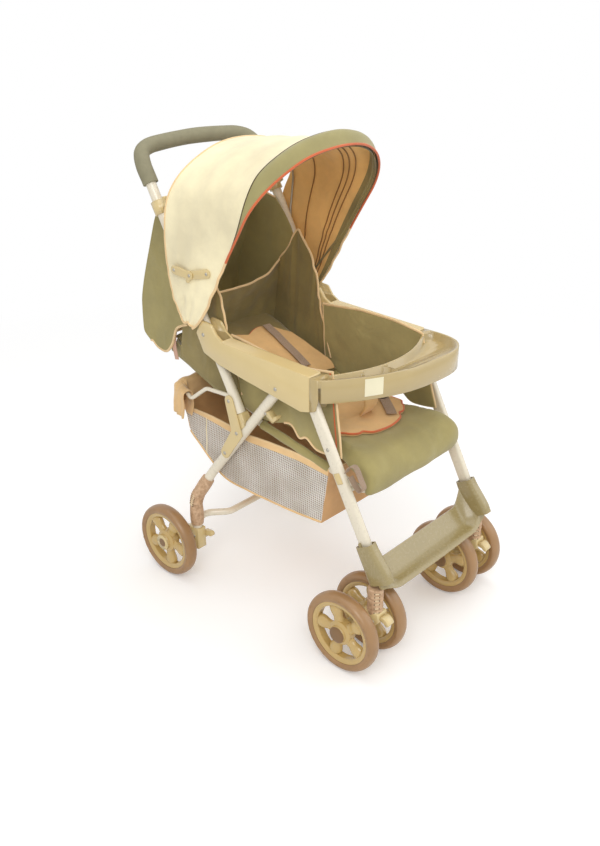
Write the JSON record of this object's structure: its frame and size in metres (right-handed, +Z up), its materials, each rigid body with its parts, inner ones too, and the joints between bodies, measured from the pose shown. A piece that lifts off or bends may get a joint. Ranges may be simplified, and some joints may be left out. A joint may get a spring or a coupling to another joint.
{
  "type": "folding pushchair",
  "caption": "Folding child's pushchair with swivelling twin front wheels, a reclining seat, a front tray, a folding canopy, a push handle and a basket under the seat.",
  "frame": {"origin": "floor level, under the middle of the pushchair's bounding box", "axes": "+Z up; the child faces -Y; -X is the child's right"},
  "size_m": [0.5246, 0.7516, 1.0136],
  "materials": {
    "enamel": "cream enamel on steel tube",
    "beige_plastic": "glossy beige moulding",
    "olive_plastic": "glossy olive beige moulding",
    "wheel_plastic": "glossy tan moulding",
    "tyre": "brown moulded tyre",
    "foam": "grey foam sleeve",
    "steel": "plain steel",
    "olive_cloth": "woven olive cloth",
    "cream_cloth": "woven cream cloth",
    "tan_cloth": "woven tan cloth and mesh"
  },
  "bodies": {
    "armrests": {"armrest_left": "beige_plastic", "armrest_right": "beige_plastic", "side_panel_left": "olive_cloth", "side_panel_right": "olive_cloth"},
    "tray_body": {"tray": "beige_plastic"},
    "front_frame": {"front_leg_left": "enamel", "front_leg_right": "enamel", "footrest": "olive_plastic"},
    "rear_frame": {"rear_leg_left": "enamel", "rear_leg_right": "enamel", "rear_cross_bar": "enamel", "rear_bracket_left": "beige_plastic", "rear_bracket_right": "beige_plastic", "fold_catch_left": "beige_plastic", "fold_catch_right": "beige_plastic"},
    "plates": {"fold_plate_left": "beige_plastic", "fold_plate_right": "beige_plastic"},
    "handle": {"push_handle_tube": "enamel", "handle_grip": "foam", "handle_clip_left": "beige_plastic", "handle_clip_right": "beige_plastic", "handle_saddle_left": "beige_plastic", "handle_saddle_right": "beige_plastic", "basket_wire": "enamel", "head_panel": "olive_cloth", "canopy": "cream_cloth", "canopy_rear_bow": "steel"},
    "canopy_front": {"canopy_front_bow": "steel"},
    "stays_rear": {"canopy_stay_rear_left": "beige_plastic", "canopy_stay_rear_right": "beige_plastic"},
    "stays_front": {"canopy_stay_front_left": "beige_plastic", "canopy_stay_front_right": "beige_plastic"},
    "seat": {"seat_frame": "enamel", "seat_pad": "olive_cloth", "crotch_strap": "tan_cloth", "basket": "tan_cloth"},
    "backrest": {"backrest_frame": "enamel", "backrest_pad": "olive_cloth"},
    "castor_right": {"castor_housing_right": "beige_plastic", "castor_axle_right": "steel"},
    "castor_lever_right": {"castor_lock_right": "beige_plastic"},
    "brake_right": {"brake_lever_right": "beige_plastic"},
    "front_wheel_body_right_outer": {"front_wheel_right_outer": "wheel_plastic", "front_tyre_right_outer": "tyre"},
    "front_wheel_body_right_inner": {"front_wheel_right_inner": "wheel_plastic", "front_tyre_right_inner": "tyre"},
    "rear_wheel_body_right": {"rear_wheel_right": "wheel_plastic", "rear_tyre_right": "tyre"},
    "castor_left": {"castor_housing_left": "beige_plastic", "castor_axle_left": "steel"},
    "castor_lever_left": {"castor_lock_left": "beige_plastic"},
    "brake_left": {"brake_lever_left": "beige_plastic"},
    "front_wheel_body_left_outer": {"front_wheel_left_outer": "wheel_plastic", "front_tyre_left_outer": "tyre"},
    "front_wheel_body_left_inner": {"front_wheel_left_inner": "wheel_plastic", "front_tyre_left_inner": "tyre"},
    "rear_wheel_body_left": {"rear_wheel_left": "wheel_plastic", "rear_tyre_left": "tyre"}
  },
  "joints": [
    {"name": "tray_slide", "type": "slide", "parent": "armrests", "child": "tray_body", "axis": [0, -1, 0], "range_m": [0, 0.06]},
    {"name": "frame_fold", "type": "hinge", "parent": "armrests", "child": "front_frame", "pos_m": [0, -0.14725, 0.561], "axis": [1, 0, 0], "range_deg": [0, 73], "deforming": ["side_panel_left", "side_panel_right", "head_panel", "canopy", "canopy_rear_bow", "canopy_front_bow", "seat_pad", "backrest_pad", "basket", "crotch_strap"]},
    {"name": "rear_fold", "type": "hinge", "parent": "armrests", "child": "rear_frame", "pos_m": [0, -0.07175, 0.543], "axis": [1, 0, 0], "range_deg": [0, 37.5]},
    {"name": "plate_fold", "type": "hinge", "parent": "rear_frame", "child": "plates", "pos_m": [0, 0.08575, 0.345], "axis": [1, 0, 0], "range_deg": [-93.6, 0]},
    {"name": "handle_fold", "type": "hinge", "parent": "armrests", "child": "handle", "pos_m": [0, 0.13455, 0.606], "axis": [1, 0, 0], "range_deg": [0, 97.4]},
    {"name": "seat_fold", "type": "hinge", "parent": "front_frame", "child": "seat", "pos_m": [0, -0.24775, 0.3729], "axis": [1, 0, 0], "range_deg": [-54.4, 0]},
    {"name": "backrest_recline", "type": "hinge", "parent": "seat", "child": "backrest", "pos_m": [0, 0.02408, 0.42623], "axis": [1, 0, 0], "range_deg": [0, 40], "deforming": ["head_panel", "side_panel_left", "side_panel_right"]},
    {"name": "canopy_fold", "type": "hinge", "parent": "handle", "child": "canopy_front", "pos_m": [0, 0.16175, 0.655], "axis": [1, 0, 0], "range_deg": [-45, 0], "deforming": ["canopy"]},
    {"name": "stay_rear_fold", "type": "hinge", "parent": "handle", "child": "stays_rear", "pos_m": [0, 0.20475, 0.733], "axis": [1, 0, 0], "range_deg": [0, 28.3]},
    {"name": "stay_front_fold", "type": "hinge", "parent": "canopy_front", "child": "stays_front", "pos_m": [0, 0.10875, 0.742], "axis": [1, 0, 0], "range_deg": [-56, 0]},
    {"name": "castor_swivel_right", "type": "hinge", "parent": "front_frame", "child": "castor_right", "pos_m": [-0.18, -0.33325, 0.192], "axis": [0, 0, 1], "continuous": true},
    {"name": "castor_lock_right", "type": "hinge", "parent": "castor_right", "child": "castor_lever_right", "pos_m": [-0.18, -0.35925, 0.13], "axis": [1, 0, 0], "range_deg": [-30, 0]},
    {"name": "front_wheel_spin_right_outer", "type": "hinge", "parent": "castor_right", "child": "front_wheel_body_right_outer", "pos_m": [-0.226, -0.28825, 0.0875], "axis": [1, 0, 0], "continuous": true},
    {"name": "front_wheel_spin_right_inner", "type": "hinge", "parent": "castor_right", "child": "front_wheel_body_right_inner", "pos_m": [-0.134, -0.28825, 0.0875], "axis": [1, 0, 0], "continuous": true},
    {"name": "rear_wheel_spin_right", "type": "hinge", "parent": "rear_frame", "child": "rear_wheel_body_right", "pos_m": [-0.242, 0.22975, 0.0875], "axis": [1, 0, 0], "continuous": true},
    {"name": "brake_press_right", "type": "hinge", "parent": "rear_frame", "child": "brake_right", "pos_m": [-0.2, 0.17075, 0.1], "axis": [1, 0, 0], "range_deg": [0, 20]},
    {"name": "castor_swivel_left", "type": "hinge", "parent": "front_frame", "child": "castor_left", "pos_m": [0.18, -0.33325, 0.192], "axis": [0, 0, 1], "continuous": true},
    {"name": "castor_lock_left", "type": "hinge", "parent": "castor_left", "child": "castor_lever_left", "pos_m": [0.18, -0.35925, 0.13], "axis": [1, 0, 0], "range_deg": [-30, 0]},
    {"name": "front_wheel_spin_left_outer", "type": "hinge", "parent": "castor_left", "child": "front_wheel_body_left_outer", "pos_m": [0.226, -0.28825, 0.0875], "axis": [1, 0, 0], "continuous": true},
    {"name": "front_wheel_spin_left_inner", "type": "hinge", "parent": "castor_left", "child": "front_wheel_body_left_inner", "pos_m": [0.134, -0.28825, 0.0875], "axis": [1, 0, 0], "continuous": true},
    {"name": "rear_wheel_spin_left", "type": "hinge", "parent": "rear_frame", "child": "rear_wheel_body_left", "pos_m": [0.242, 0.22975, 0.0875], "axis": [1, 0, 0], "continuous": true},
    {"name": "brake_press_left", "type": "hinge", "parent": "rear_frame", "child": "brake_left", "pos_m": [0.2, 0.17075, 0.1], "axis": [1, 0, 0], "range_deg": [0, 20]}
  ],
  "couplings": [
    {"joint": "rear_fold", "follows": "frame_fold", "ratio": 0.5128},
    {"joint": "plate_fold", "follows": "frame_fold", "ratio": -1.2808},
    {"joint": "handle_fold", "follows": "frame_fold", "ratio": 1.3333},
    {"joint": "seat_fold", "follows": "frame_fold", "ratio": -0.744},
    {"joint": "stay_rear_fold", "follows": "canopy_fold", "ratio": -0.627},
    {"joint": "stay_front_fold", "follows": "canopy_fold", "ratio": 1.242}
  ]
}
